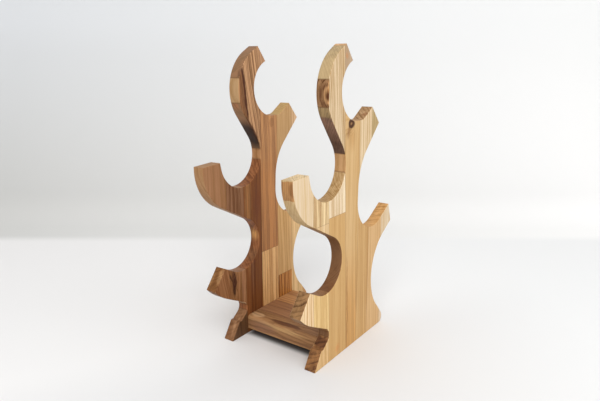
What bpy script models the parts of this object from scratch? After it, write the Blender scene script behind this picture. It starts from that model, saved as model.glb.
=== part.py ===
"""Tabletop wine rack of solid wood, for four bottles that lie flat.

Two sawn side panels, cut to one outline, stand on edge and a low shelf holds them apart.
Each panel is a board of upright staves, glued edge to edge, and the saw divides some staves
into pieces. The shelf is three staves that run from panel to panel on hidden dowels.
A bottle lies along X through the same cradle of both panels.

Metres, +Z up, front of the rack towards -Y, both panels' faces square to X. The origin lies
on the table, below the middle of the rack.
"""

import math

import bmesh
import bpy
from mathutils import Matrix, Vector

# Overall sizes of the boards
rack_width = 0.185          # outside of one panel to outside of the other
panel_thickness = 0.020
arris = 0.0008              # chamfer that breaks every sawn edge
glue_gap = 0.0003           # between two pieces that are glued or butted together

# Foot, from the front corner on the table up to the notch above it
foot_rise = 0.028           # height of the ledge on the toe
toe_lean = 0.0174           # how far the toe leans back over that height
ledge_depth = 0.0055
notch_radius = 0.0137
notch_run = 0.0132          # straight run from the ledge to the notch
notch_angle = math.radians(84.3)

# Nose, the lip under the lower cradle
nose_depth = 0.0553         # wood from the lower cradle down to the underside
nose_offset = 0.0053        # between the cradle's centre and the underside's
nose_offset_angle = math.radians(34.3)
nose_underside_run = 0.0455
nose_underside_angle = math.radians(85.9)
nose_end_run = 0.006
nose_end_angle = math.radians(221.9)
nose_lip_run = 0.0245       # straight lip that keeps a bottle from rolling out
nose_lip_angle = math.radians(214.1)
lower_cradle_radius = 0.0445

# Front arm, the lobe that carries the front cradle
front_arm_run = 0.0705      # straight run between the lower cradle and the lobe
front_arm_angle = math.radians(93.6)
front_arm_width = 0.0403    # thickest wood between the cradle and the lobe's outside
front_arm_offset = 0.0142   # between the lobe's centre and the cradle's
front_arm_offset_angle = math.radians(33.8)
front_arm_end_run = 0.0035
front_arm_end_angle = math.radians(176.6)
front_cradle_lip_run = 0.0100
front_cradle_lip_angle = math.radians(181.8)
front_cradle_radius = 0.0481

# Horn, the hook round the upper cradle
horn_run = 0.0462           # straight run between the front cradle and the horn's back
horn_angle = math.radians(58.7)
horn_width = 0.0374
horn_offset = 0.0148
horn_offset_angle = math.radians(3.5)
horn_top_run = 0.0163
horn_top_angle = math.radians(107.0)
horn_end_run = 0.0040
horn_end_angle = math.radians(111.1)
upper_cradle_radius = 0.0464
upper_floor_radius = 0.0204  # tighter bend where the cradle's floor turns up
upper_floor_run = 0.0123
upper_floor_angle = math.radians(-62.5)

# Antler, the short arm behind the upper cradle
antler_run = 0.0274
antler_angle = math.radians(-3.7)
antler_end_length = 0.0358
antler_end_angle = math.radians(-48.3)
antler_underside_run = 0.0567

# Trunk and the back cradle
trunk_width = 0.0398        # wood between the front cradle and the trunk's back
trunk_back_radius = 0.0843
back_cradle_run = 0.0227
back_cradle_angle = math.radians(212.5)
back_cradle_radius = 0.0512
back_lip_run = 0.0377
back_lip_angle = math.radians(-23.3)
back_arm_end_length = 0.0327
back_arm_end_angle = math.radians(-74.0)

# Waist and heel, down the back to the table
waist_width = 0.0974        # wood between the lower cradle and the waist
waist_height_share = 0.524  # height of the waist's narrowest place, of the back arm's height
waist_run = 0.0305          # straight underside of the back arm
waist_end_run = 0.004
waist_end_angle = math.radians(227.4)
heel_radius = 0.012
heel_overhang = 0.0045      # heel's centre behind the corner where the waist ends
heel_lift_share = 0.875     # height of the heel's centre, of its radius
heel_sole_run = 0.0027

# Glue lines of each panel's staves, from the front to the rear. At the height of one of the
# outline's turning places, each line is a share of the way between two of them, and it leans
# towards the front as it rises.
right_line_shares = (0.963, 0.977, 0.952, 0.020, 0.737, 0.460)
left_line_shares = (0.963, 0.977, 0.980, 0.083, 0.904, 0.460)
right_line_leans = (math.radians(1.0), math.radians(1.0), math.radians(2.1),
                    math.radians(0.0), math.radians(-0.4), math.radians(0.0))
left_line_leans = (math.radians(1.0), math.radians(1.0), math.radians(0.0),
                   math.radians(0.3), math.radians(0.0), math.radians(0.0))

# Butt joints: where a stave is made up of two lengths, of the height that the saw leaves of it
front_arm_butt_share = 0.257
trunk_front_butt_share = 0.790
trunk_middle_butt_share = 0.352
trunk_rear_butt_share = 0.354
right_butts = {"front_arm": front_arm_butt_share, "trunk_front": trunk_front_butt_share}
left_butts = {"trunk_middle": trunk_middle_butt_share, "trunk_rear": trunk_rear_butt_share}

# What the saw leaves of each stave, lowest first, from the front stave to the rear one
stave_names = (
    ("nose_tip", "front_arm_tip"),
    ("toe", "nose", "front_arm", "horn_back"),
    ("trunk_front", "horn"),
    ("trunk_middle", "horn_tip"),
    ("trunk_rear", "antler"),
    ("waist", "antler_tip"),
    ("heel_tip", "back_arm_tip"),
)

# Shelf and its dowels
shelf_thickness = 0.0243
shelf_height = 0.009        # from the table up to the shelf's underside
shelf_depth = 0.130
shelf_stave_shares = (0.215, 0.385, 0.400)
shelf_names = ("front", "middle", "rear")
shelf_edge_radius = 0.005   # round-over along the front edge's top
dowel_diameter = 0.008
dowel_length = 0.036
dowel_depth_in_panel = 0.012
dowel_chamfer = 0.0008
dowel_clearance = 0.0003
dowel_place_share = 0.62    # how far back in each shelf stave its dowels sit, of its depth
dowel_sides = 16

# Fineness of the curves, and the angle below which neighbouring faces shade as one
arc_step = math.radians(7.5)
smooth_angle = math.radians(20.0)
edge_segments = 5

# Colours of the finished wood, linear
pale = (0.68, 0.46, 0.25)
honey = (0.58, 0.36, 0.17)
amber = (0.50, 0.27, 0.10)
stave_colours = (amber, honey, pale, amber, honey, amber, honey)
shelf_colour = (0.23, 0.10, 0.050)
dowel_colour = (0.62, 0.45, 0.27)
wood_roughness = 0.45


def polar(centre, distance, angle):
    """The point at a distance and an angle from another point, in the panel's plane."""
    return (centre[0] + distance * math.cos(angle), centre[1] + distance * math.sin(angle))


def tangent_distance(bend, run):
    """How far apart two centres lie whose arcs, with bends that differ by this much, are
    joined by a straight run of the given length."""
    return math.hypot(bend, run)


def outline_bends():
    """The panel's outline as a list of bends, clockwise from the foot's front corner.

    A bend is (y, z, radius). The outline runs round each bend and along the straight line
    that touches two of them in turn. A radius over zero is hollow, like a cradle, one
    under zero is full, like the horn's back, and zero is a sharp corner. Each centre is
    worked out from the one before, so that the straight runs keep their lengths.
    """
    foot = (0.0, 0.0)
    toe = (toe_lean, foot_rise)
    ledge = (toe_lean + ledge_depth, foot_rise)
    notch = polar(ledge, tangent_distance(notch_radius, notch_run), notch_angle)

    nose_radius = lower_cradle_radius + nose_depth - nose_offset
    nose = polar(notch, tangent_distance(notch_radius + nose_radius, nose_underside_run),
                 nose_underside_angle)
    nose_end = polar(nose, tangent_distance(nose_radius, nose_end_run), nose_end_angle)
    lower = polar(nose, -nose_offset, nose_offset_angle)
    nose_lip = polar(lower, tangent_distance(lower_cradle_radius, nose_lip_run), nose_lip_angle)

    arm_radius = front_cradle_radius + front_arm_width - front_arm_offset
    arm = polar(lower, tangent_distance(lower_cradle_radius + arm_radius, front_arm_run),
                front_arm_angle)
    arm_end = polar(arm, tangent_distance(arm_radius, front_arm_end_run), front_arm_end_angle)
    front = polar(arm, front_arm_offset, front_arm_offset_angle)
    front_lip = polar(front, tangent_distance(front_cradle_radius, front_cradle_lip_run),
                      front_cradle_lip_angle)

    horn_radius = upper_cradle_radius + horn_width - horn_offset
    horn = polar(front, tangent_distance(front_cradle_radius + horn_radius, horn_run), horn_angle)
    horn_top = polar(horn, tangent_distance(horn_radius, horn_top_run), horn_top_angle)
    upper = polar(horn, horn_offset, horn_offset_angle)
    horn_end = polar(upper, tangent_distance(upper_cradle_radius, horn_end_run), horn_end_angle)
    floor_bend = polar(upper,
                       tangent_distance(upper_cradle_radius - upper_floor_radius,
                                        upper_floor_run),
                       upper_floor_angle)

    antler_top = polar(floor_bend, tangent_distance(upper_floor_radius, antler_run), antler_angle)
    antler_end = polar(antler_top, antler_end_length, antler_end_angle)

    trunk_y = front[0] + front_cradle_radius + trunk_width + trunk_back_radius
    trunk_reach = tangent_distance(trunk_back_radius, antler_underside_run)
    trunk_drop = math.sqrt(trunk_reach ** 2 - (antler_end[0] - trunk_y) ** 2)
    trunk = (trunk_y, antler_end[1] - trunk_drop)
    back = polar(trunk, tangent_distance(trunk_back_radius - back_cradle_radius, back_cradle_run),
                 back_cradle_angle)
    back_lip = polar(back, tangent_distance(back_cradle_radius, back_lip_run), back_lip_angle)
    back_end = polar(back_lip, back_arm_end_length, back_arm_end_angle)

    waist_y = lower[0] + lower_cradle_radius + waist_width
    waist_z = waist_height_share * back_end[1]
    across, above = back_end[0] - waist_y, back_end[1] - waist_z
    waist_radius = (across ** 2 + above ** 2 - waist_run ** 2) / (across + across)
    waist = (waist_y + waist_radius, waist_z)
    waist_end = polar(waist, tangent_distance(waist_radius, waist_end_run), waist_end_angle)
    heel = (waist_end[0] + heel_overhang, heel_lift_share * heel_radius)
    sole = math.sqrt(tangent_distance(heel_radius, heel_sole_run) ** 2 - heel[1] ** 2)
    heel_corner = (heel[0] + sole, 0.0)

    return [
        (*foot, 0.0), (*toe, 0.0), (*ledge, 0.0), (*notch, notch_radius),
        (*nose, -nose_radius), (*nose_end, 0.0), (*nose_lip, 0.0),
        (*lower, lower_cradle_radius),
        (*arm, -arm_radius), (*arm_end, 0.0), (*front_lip, 0.0),
        (*front, front_cradle_radius),
        (*horn, -horn_radius), (*horn_top, 0.0), (*horn_end, 0.0),
        (*upper, upper_cradle_radius), (*floor_bend, upper_floor_radius),
        (*antler_top, 0.0), (*antler_end, 0.0),
        (*trunk, trunk_back_radius), (*back, back_cradle_radius),
        (*back_lip, 0.0), (*back_end, 0.0),
        (*waist, waist_radius), (*waist_end, 0.0),
        (*heel, -heel_radius), (*heel_corner, 0.0),
    ]


def heading(bend, following):
    """The direction of the straight line from one bend to the next, touching both."""
    dy, dz = following[0] - bend[0], following[1] - bend[1]
    change = following[2] - bend[2]
    run = math.sqrt(max(dy * dy + dz * dz - change * change, 0.0))
    return math.atan2(dz, dy) - math.atan2(change, run)


def outline_points(bends):
    """The outline's corners and its arcs, each arc in equal steps of about arc_step."""
    points = []
    for number, (y, z, radius) in enumerate(bends):
        if radius == 0.0:
            points.append((y, z))
            continue
        start = heading(bends[number - 1], bends[number])
        end = heading(bends[number], bends[(number + 1) % len(bends)])
        turn = math.remainder(end - start, math.tau)
        if turn * radius < 0.0:
            turn += math.copysign(math.tau, radius)
        steps = max(1, math.ceil(abs(turn) / arc_step))
        for step in range(steps + 1):
            angle = start + turn * step / steps
            points.append((y + radius * math.sin(angle), z - radius * math.cos(angle)))
    return points


def clear_scene():
    for old in list(bpy.data.objects):
        bpy.data.objects.remove(old)


def wood(name, colour):
    """An oiled wood of one colour."""
    material = bpy.data.materials.new(name)
    material.use_nodes = True
    shader = material.node_tree.nodes["Principled BSDF"]
    shader.inputs["Base Color"].default_value = (*colour, 1.0)
    shader.inputs["Roughness"].default_value = wood_roughness
    shader.inputs["Metallic"].default_value = 0.0
    return material


def add_object(name, bm, material=None):
    """Turns a bmesh into a named object of the scene, faces out."""
    bmesh.ops.recalc_face_normals(bm, faces=bm.faces)
    mesh = bpy.data.meshes.new(name)
    bm.to_mesh(mesh)
    bm.free()
    if material:
        mesh.materials.append(material)
        mesh.shade_smooth()
        mesh.set_sharp_from_angle(angle=smooth_angle)
    made = bpy.data.objects.new(name, mesh)
    bpy.context.scene.collection.objects.link(made)
    return made


def prism(points, x_from, x_to):
    """A closed body between two planes square to X, with the outline's edges chamfered."""
    bm = bmesh.new()
    near = bm.faces.new([bm.verts.new((x_from, y, z)) for y, z in points])
    swept = bmesh.ops.extrude_face_region(bm, geom=[near], use_keep_orig=True)
    moved = [item for item in swept["geom"] if isinstance(item, bmesh.types.BMVert)]
    bmesh.ops.translate(bm, verts=moved, vec=(x_to - x_from, 0.0, 0.0))
    bmesh.ops.recalc_face_normals(bm, faces=bm.faces)
    rims = [edge for edge in bm.edges
            if math.isclose(edge.verts[0].co.x, edge.verts[1].co.x, abs_tol=arris)]
    bmesh.ops.bevel(bm, geom=rims, offset=arris, segments=1, affect="EDGES",
                    clamp_overlap=True)
    return bm


def keep_behind(bm, point, normal):
    """Saws a closed body along a plane, drops what lies in front and closes the cut."""
    everything = bm.verts[:] + bm.edges[:] + bm.faces[:]
    cut = bmesh.ops.bisect_plane(bm, geom=everything, plane_co=point, plane_no=normal,
                                 clear_outer=True)
    rim = [item for item in cut["geom_cut"] if isinstance(item, bmesh.types.BMEdge)]
    if rim:
        bmesh.ops.edgeloop_fill(bm, edges=rim)


def split_loose(bm):
    """Divides a mesh into its separate bodies, lowest first."""
    bodies = []
    left = set(bm.verts)
    while left:
        body, edge_of_body = set(), [left.pop()]
        while edge_of_body:
            vert = edge_of_body.pop()
            body.add(vert)
            for edge in vert.link_edges:
                other = edge.other_vert(vert)
                if other in left:
                    left.remove(other)
                    edge_of_body.append(other)
        bodies.append(body)
    bodies.sort(key=lambda verts: min(vert.co.z for vert in verts))
    parts = []
    for body in bodies:
        part = bm.copy()
        part.verts.ensure_lookup_table()
        numbers = {vert.index for vert in body}
        spare = [vert for vert in part.verts if vert.index not in numbers]
        bmesh.ops.delete(part, geom=spare, context="VERTS")
        parts.append(part)
    return parts


def named(bodies, names):
    """Pairs each body with its name; bodies past the last name share it, with numbers."""
    spare = [f"{names[-1]}_{number + 2}" for number in range(len(bodies) - len(names))]
    return list(zip([*names, *spare], bodies))


def butted(pieces, butts):
    """Cuts each piece that has a butt joint into a lower and an upper one."""
    up = Vector((0.0, 0.0, 1.0))
    cut = []
    for name, body in pieces:
        if name not in butts:
            cut.append((name, body))
            continue
        heights = [vert.co.z for vert in body.verts]
        joint = min(heights) + butts[name] * (max(heights) - min(heights))
        upper = body.copy()
        keep_behind(body, up * (joint - glue_gap / 2), up)
        keep_behind(upper, up * (joint + glue_gap / 2), -up)
        cut += [(f"{name}_lower", body), (f"{name}_upper", upper)]
    return cut


def dowel_pin(length, radius, chamfer, x_centre, y, z):
    """A round pin along X with a chamfer at each end."""
    bm = bmesh.new()
    turned = Matrix.Translation((x_centre, y, z)) @ Matrix.Rotation(math.radians(90.0), 4, "Y")
    bmesh.ops.create_cone(bm, cap_ends=True, segments=dowel_sides, radius1=radius,
                          radius2=radius, depth=length, matrix=turned)
    ends = [face for face in bm.faces if len(face.verts) == dowel_sides]
    rims = {edge for face in ends for edge in face.edges}
    if chamfer:
        bmesh.ops.bevel(bm, geom=list(rims), offset=chamfer, segments=1, affect="EDGES")
    return bm


def bored(bm, bores):
    """The body with each bore cut out of it."""
    solid = add_object("blank", bm)
    cutters = []
    for number, bore in enumerate(bores):
        cutter = add_object(f"bore_{number}", bore)
        cutter.hide_render = True
        cutter.display_type = "WIRE"
        cut = solid.modifiers.new(cutter.name, "BOOLEAN")
        cut.operation = "DIFFERENCE"
        cut.solver = "EXACT"
        cut.object = cutter
        cutters.append(cutter)
    bpy.context.view_layer.update()
    evaluated = solid.evaluated_get(bpy.context.evaluated_depsgraph_get())
    result = bmesh.new()
    result.from_mesh(evaluated.to_mesh())
    evaluated.to_mesh_clear()
    for spare in [solid, *cutters]:
        bpy.data.objects.remove(spare)
    return result


def shelf_edges(front):
    """The shelf's front, the joints between its staves and its back, as places along Y."""
    places = [front]
    for share in shelf_stave_shares:
        places.append(places[-1] + share * shelf_depth)
    return places


def dowel_places(edges):
    """The place of each shelf stave's dowels, as (y, z)."""
    height = shelf_height + shelf_thickness / 2
    return [(low + dowel_place_share * (high - low), height)
            for low, high in zip(edges, edges[1:])]


def glue_planes(bends, front, rear, shares, leans):
    """The glue lines' planes, from the front to the rear, each as a point and a direction
    square to it that looks to the rear."""
    foot, notch, cradle, trunk, waist = (bends[number] for number in (0, 3, 11, 19, 23))
    notch_back, cradle_back = notch[0] + notch[2], cradle[0] + cradle[2]
    trunk_back, waist_front = trunk[0] - trunk[2], waist[0] - waist[2]
    spans = ((front, foot[0], foot[1]), (foot[0], notch_back, notch[1]),
             (notch_back, cradle_back, cradle[1]), (trunk_back, waist_front, trunk[1]),
             (trunk_back, waist_front, waist[1]), (waist_front, rear, waist[1]))
    planes = []
    for (low, high, height), share, lean in zip(spans, shares, leans):
        point = Vector((0.0, low + share * (high - low), height))
        planes.append((point, Vector((0.0, math.cos(lean), math.sin(lean)))))
    return planes


def build_panel(side, points, planes, places, butts):
    """One side panel: the sawn board, bored for the dowels and divided into its staves.

    side is +1 for the right panel and -1 for the left one."""
    side_name = "right" if side > 0 else "left"
    outer = side * rack_width / 2
    inner = side * (rack_width / 2 - panel_thickness)
    board = prism(points, min(inner, outer), max(inner, outer))
    reach = dowel_depth_in_panel + dowel_clearance
    bores = [dowel_pin(reach + reach, dowel_diameter / 2 + dowel_clearance, 0.0, inner, y, z)
             for y, z in places]
    board = bored(board, bores)

    for column in range(len(planes) + 1):
        stave = board.copy()
        for point, square in planes[max(column - 1, 0):column]:
            keep_behind(stave, point + square * (glue_gap / 2), -square)
        for point, square in planes[column:column + 1]:
            keep_behind(stave, point - square * (glue_gap / 2), square)
        pieces = butted(named(split_loose(stave), stave_names[column]), butts)
        stave.free()
        for piece_name, piece in pieces:
            full_name = f"{side_name}_{piece_name}"
            add_object(full_name, piece, wood(full_name, stave_colours[column]))
    board.free()


def build_shelf(edges):
    """The shelf's staves, with a round-over along the front and bores in both ends."""
    half = rack_width / 2 - panel_thickness - glue_gap
    for number, (low, high) in enumerate(zip(edges, edges[1:])):
        first, last = number == 0, number == len(edges) - 2
        y_from = low if first else low + glue_gap / 2
        y_to = high if last else high - glue_gap / 2
        top = shelf_height + shelf_thickness
        section = [(y_from, shelf_height)]
        if first:
            centre = (y_from + shelf_edge_radius, top - shelf_edge_radius)
            for step in range(edge_segments + 1):
                angle = math.pi - math.pi / 2 * step / edge_segments
                section.append(polar(centre, shelf_edge_radius, angle))
        else:
            section.append((y_from, top))
        section += [(y_to, top), (y_to, shelf_height)]
        stave = prism(section, -half, half)
        bore_length = dowel_length - dowel_depth_in_panel + dowel_clearance
        bores = [dowel_pin(bore_length + bore_length, dowel_diameter / 2 + dowel_clearance, 0.0,
                           end * half, *dowel_places([low, high])[0]) for end in (-1, 1)]
        name = f"shelf_{shelf_names[number]}"
        add_object(name, bored(stave, bores), wood(name, shelf_colour))


def build_dowels(places):
    """The pins that hold the shelf between the panels."""
    inner = rack_width / 2 - panel_thickness
    for side, word in ((1, "right"), (-1, "left")):
        middle = side * (inner + dowel_depth_in_panel - dowel_length / 2)
        for number, (y, z) in enumerate(places):
            name = f"{word}_dowel_{shelf_names[number]}"
            pin = dowel_pin(dowel_length, dowel_diameter / 2, dowel_chamfer, middle, y, z)
            add_object(name, pin, wood(name, dowel_colour))


def build():
    clear_scene()
    bends = outline_bends()
    points = outline_points(bends)
    front, rear = min(y for y, z in points), max(y for y, z in points)
    middle = (front + rear) / 2
    points = [(y - middle, z) for y, z in points]
    bends = [(y - middle, z, radius) for y, z, radius in bends]
    front, rear = front - middle, rear - middle
    notch = bends[3]
    edges = shelf_edges(notch[0] + notch[2])
    places = dowel_places(edges)
    for side, shares, leans, butts in ((1, right_line_shares, right_line_leans, right_butts),
                                       (-1, left_line_shares, left_line_leans, left_butts)):
        planes = glue_planes(bends, front, rear, shares, leans)
        build_panel(side, points, planes, places, butts)
    build_shelf(edges)
    build_dowels(places)


build()
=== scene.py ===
"""Looks of the tabletop wine rack: two sawn panels of glued staves, a shelf and its dowels."""

import math

import bpy
import numpy as np
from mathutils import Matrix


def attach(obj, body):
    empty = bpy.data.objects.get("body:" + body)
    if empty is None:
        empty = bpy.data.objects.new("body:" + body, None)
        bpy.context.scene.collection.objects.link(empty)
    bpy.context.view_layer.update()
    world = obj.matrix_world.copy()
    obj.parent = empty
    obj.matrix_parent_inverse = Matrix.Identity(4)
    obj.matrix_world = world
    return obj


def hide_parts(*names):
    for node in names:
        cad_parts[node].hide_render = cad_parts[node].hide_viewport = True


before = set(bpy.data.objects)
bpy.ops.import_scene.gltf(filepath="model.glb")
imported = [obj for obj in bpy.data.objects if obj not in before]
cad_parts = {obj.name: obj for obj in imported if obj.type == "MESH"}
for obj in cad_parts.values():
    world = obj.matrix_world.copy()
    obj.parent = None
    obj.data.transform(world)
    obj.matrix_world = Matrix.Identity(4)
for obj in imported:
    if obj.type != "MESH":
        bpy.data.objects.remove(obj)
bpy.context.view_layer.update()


# Front staves. The foremost board of each panel, of oiled solid hardwood, glued to the next
# one by its long side. The saw leaves two pieces of it: the tip of the nose under the lower
# cradle and the tip of the front arm.

MM = 0.001

# The saw's path round a panel, clockwise from the foot's front corner: each bend's centre in
# y and z and its radius, in mm. A radius over zero is hollow, under zero is full, and zero is
# a sharp corner.
bends = np.array((
    (-91.82, 0.00, 0.00), (-74.42, 28.00, 0.00), (-68.92, 28.00, 0.00),
    (-67.03, 46.93, 13.70), (-58.64, 164.01, -94.50), (-129.11, 100.77, 0.00),
    (-105.08, 132.54, 0.00), (-63.01, 161.02, 44.50), (-71.68, 298.81, -74.20),
    (-145.83, 303.21, 0.00), (-108.99, 305.16, 0.00), (-59.88, 306.71, 48.10),
    (5.52, 414.27, -69.00), (-15.21, 482.06, 0.00), (3.52, 458.62, 0.00),
    (20.29, 415.17, 46.40), (33.57, 389.66, 20.40), (67.66, 387.45, 0.00),
    (91.47, 360.73, 0.00), (112.32, 261.29, 84.30), (78.47, 239.73, 51.20),
    (136.86, 214.58, 0.00), (145.87, 183.14, 0.00), (162.16, 95.97, 83.27),
    (105.73, 34.60, 0.00), (110.23, 10.50, -12.00), (116.64, 0.00, 0.00)))
bend_step = math.radians(2.5)

# Glue lines from the front to the rear, as y and z in mm and the lean towards the front in
# degrees, then each panel's two faces, a glue line's width and the radius that the arrises
# are rounded to, in mm
glue_lines = {
    "right": ((-93.82, 0.0, 1.0), (-54.21, 46.93, 1.0), (-13.78, 306.71, 2.1),
              (29.03, 261.29, 0.0), (65.51, 95.97, -0.4), (109.70, 95.97, 0.0)),
    "left": ((-93.82, 0.0, 1.0), (-54.21, 46.93, 1.0), (-12.61, 306.71, 0.0),
             (32.24, 261.29, 0.3), (74.00, 95.97, 0.0), (109.70, 95.97, 0.0))}
panel_faces = {"right": (72.5, 92.5), "left": (-92.5, -72.5)}
glue_gap = 0.1
arris = 0.9


def saw_path(turns, step):
    """The outline as rows of y and z. On a bend, a point lies at the centre plus the radius
    times (sin a, -cos a), with a running evenly from the heading that comes in to the one
    that goes out. The heading from one bend to the next is the angle of the line between
    their centres less atan2(change of radius, length of the straight run)."""
    y, z, radius = turns.T
    dy, dz, change = (np.roll(turns, -1, axis=0) - turns).T
    run = np.sqrt(np.maximum(dy ** 2 + dz ** 2 - change ** 2, 0.0))
    leaving = np.arctan2(dz, dy) - np.arctan2(change, run)
    arriving = np.roll(leaving, 1)
    turn = np.remainder(leaving - arriving + math.pi, math.tau) - math.pi
    turn += np.where(turn * radius < 0.0, np.copysign(math.tau, radius), 0.0)
    steps = np.where(radius == 0.0, 0, np.ceil(np.abs(turn) / step)).astype(int)
    bend = np.repeat(np.arange(len(turns)), steps + 1)
    first = np.cumsum(steps + 1) - steps - 1
    angle = arriving[bend] + turn[bend] * (np.arange(len(bend)) - first[bend]) \
        / np.maximum(steps[bend], 1)
    return np.column_stack((y[bend] + radius[bend] * np.sin(angle),
                            z[bend] - radius[bend] * np.cos(angle)))


def behind(loop, sawn, point, square):
    """The parts of a closed loop on the side of a line that square points to, each with its
    flags. Where the loop crosses the line, the point is shared out by the two distances.
    The crossings are paired in their order along the line, and each part runs along the
    loop and back over its pairs. A flag is true for an edge of the saw's path."""
    away = (loop - point) @ square
    kept = away > 0.0
    crossing = np.flatnonzero(kept != np.roll(kept, -1))
    if len(crossing) == 0:
        return [(loop, sawn)] if kept.all() else []
    after = (crossing + 1) % len(loop)
    share = away[crossing] / (away[crossing] - away[after])
    places = loop[crossing] + share[:, None] * (loop[after] - loop[crossing])
    order = np.argsort(places @ np.array((-square[1], square[0])))
    partner = np.empty(len(crossing), int)
    partner[order[0::2]], partner[order[1::2]] = order[1::2], order[0::2]
    waiting = set(np.flatnonzero(~kept[crossing]).tolist())
    parts = []
    while waiting:
        number = min(waiting)
        rows, flags = [], []
        while number in waiting:
            waiting.discard(number)
            last = (number + 1) % len(crossing)
            reach = crossing[last] + (len(loop) if last <= number else 0)
            inner = np.arange(crossing[number] + 1, reach + 1) % len(loop)
            rows += [places[number:number + 1], loop[inner], places[last:last + 1]]
            flags += [sawn[crossing[number]:crossing[number] + 1], sawn[inner], [False]]
            number = int(partner[last])
        parts.append((np.concatenate(rows), np.concatenate(flags)))
    return parts


def stave_pieces(side, column, butt=None):
    """The pieces of one stave, lowest first: the saw's path between two glue lines, and
    above and below the butt joint's height where one is given for the piece that it is in.
    Each piece keeps half the glue gap away from the line."""
    parts = [(outline, np.ones(len(outline), bool))]
    for line, way in ((column - 1, 1.0), (column, -1.0)):
        if 0 <= line < len(glue_lines[side]):
            y, z, lean = glue_lines[side][line]
            square = way * np.array((math.cos(math.radians(lean)), math.sin(math.radians(lean))))
            point = np.array((y, z)) + square * glue_gap / 2
            parts = [piece for loop, sawn in parts for piece in behind(loop, sawn, point, square)]
    if butt is not None:
        cut = []
        for loop, sawn in parts:
            if loop[:, 1].min() < butt < loop[:, 1].max():
                for way in (-1.0, 1.0):
                    square = np.array((0.0, way))
                    point = np.array((0.0, butt)) + square * glue_gap / 2
                    cut += behind(loop, sawn, point, square)
            else:
                cut.append((loop, sawn))
        parts = cut
    return sorted(parts, key=lambda piece: piece[0][:, 1].min())


def inward(loop, sawn):
    """For every point of a clockwise loop, how far it moves when each sawn edge goes one
    unit inwards and each glued edge stays: the meeting place of the two moved lines."""
    in_line = 1e-6
    along = np.roll(loop, -1, axis=0) - loop
    along /= np.linalg.norm(along, axis=1)[:, None]
    square = np.column_stack((along[:, 1], -along[:, 0]))
    before, flag_before = np.roll(square, 1, axis=0), np.roll(sawn, 1)
    level = (before + square) / (1.0 + (before * square).sum(1))[:, None]
    cross = before[:, 0] * square[:, 1] - before[:, 1] * square[:, 0]
    cross = np.where(np.abs(cross) < in_line, 1.0, cross)
    slide_before = np.column_stack((square[:, 1], -square[:, 0])) / cross[:, None]
    slide_after = np.column_stack((-before[:, 1], before[:, 0])) / cross[:, None]
    uneven = slide_before * flag_before[:, None] + slide_after * sawn[:, None]
    return np.where((sawn == flag_before)[:, None], level * sawn[:, None], uneven)


def thinned(loop, sawn, reach):
    """The loop without the points that the end of a sawn run would slide over, so that the
    rounded edge doesn't cross itself where a glue line leaves the saw's path at a slant. The
    end slides by its move's part along its own edge, and a little is added to that."""
    spare = 1.15
    move = inward(loop, sawn) * reach
    following, edge = np.roll(loop, -1, axis=0), np.roll(sawn, 1)
    length = np.linalg.norm(following - loop, axis=1)
    place = np.concatenate(((0.0,), np.cumsum(length)))
    whole, place = place[-1], place[:-1]
    keep = np.ones(len(loop), bool)
    for end in np.flatnonzero(sawn != edge):
        way = (following - loop)[end] if sawn[end] else (np.roll(loop, 1, axis=0) - loop)[end]
        slide = spare * (move[end] @ way) / np.linalg.norm(way)
        ahead = (place - place[end]) % whole if sawn[end] else (place[end] - place) % whole
        keep &= (ahead == 0.0) | (ahead > slide)
    return loop[keep], sawn[keep]


def solid_stave(name, loop, sawn, x_from, x_to, rounding):
    """A closed body: the loop carried along X, with every sawn edge rounded over. Across the
    rounding, at an angle t from 0 to 90 degrees, the loop lies rounding * (1 - sin t) inside
    its full size and rounding * (1 - cos t) below the face. All lengths are in mm."""
    shading_breaks_at = math.radians(35.0)
    loop, sawn = thinned(loop, sawn, rounding)
    angle = np.radians((0.0, 30.0, 60.0, 90.0))
    depth = rounding * (1.0 - np.sin(angle))
    sink = rounding * (1.0 - np.cos(angle))
    depth = np.concatenate((depth, depth[::-1]))
    across = np.concatenate((x_from + sink, (x_to - sink)[::-1]))
    rings, count = len(across), len(loop)
    verts = np.empty((rings, count, 3))
    verts[..., 0] = across[:, None]
    verts[..., 1:] = loop[None] + depth[:, None, None] * inward(loop, sawn)[None]
    number = np.arange(rings * count).reshape(rings, count)
    low, high = number[:-1], number[1:]
    walls = np.stack((low, high, np.roll(high, -1, axis=1), np.roll(low, -1, axis=1)), axis=-1)
    faces = walls.reshape(-1, 4).tolist() + [number[0].tolist(), number[-1, ::-1].tolist()]
    mesh = bpy.data.meshes.new(name)
    mesh.from_pydata((verts.reshape(-1, 3) * MM).tolist(), [], faces)
    mesh.shade_smooth()
    mesh.set_sharp_from_angle(angle=shading_breaks_at)
    # The two faces stay flat: shading also breaks along the edge of each
    ends = np.empty(len(mesh.edges) * 2, int)
    mesh.edges.foreach_get("vertices", ends)
    ring = ends.reshape(-1, 2) // count
    sharp = np.empty(len(mesh.edges), bool)
    mesh.attributes["sharp_edge"].data.foreach_get("value", sharp)
    sharp |= (ring[:, 0] == ring[:, 1]) & ((ring[:, 0] == 0) | (ring[:, 0] == rings - 1))
    mesh.attributes["sharp_edge"].data.foreach_set("value", sharp)
    piece = bpy.data.objects.new(name, mesh)
    bpy.context.scene.collection.objects.link(piece)
    return piece


def linear(colour):
    """An sRGB hex colour as linear red, green, blue and 1: each value v from 0 to 1 becomes
    ((v + 0.055) / 1.055) ** 2.4, or v / 12.92 where it is dark."""
    value = np.array([int(colour[digit:digit + 2], 16) for digit in (1, 3, 5)]) / 255.0
    value = np.where(value <= 0.04045, value / 12.92, ((value + 0.055) / 1.055) ** 2.4)
    return (*value.tolist(), 1.0)


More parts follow.
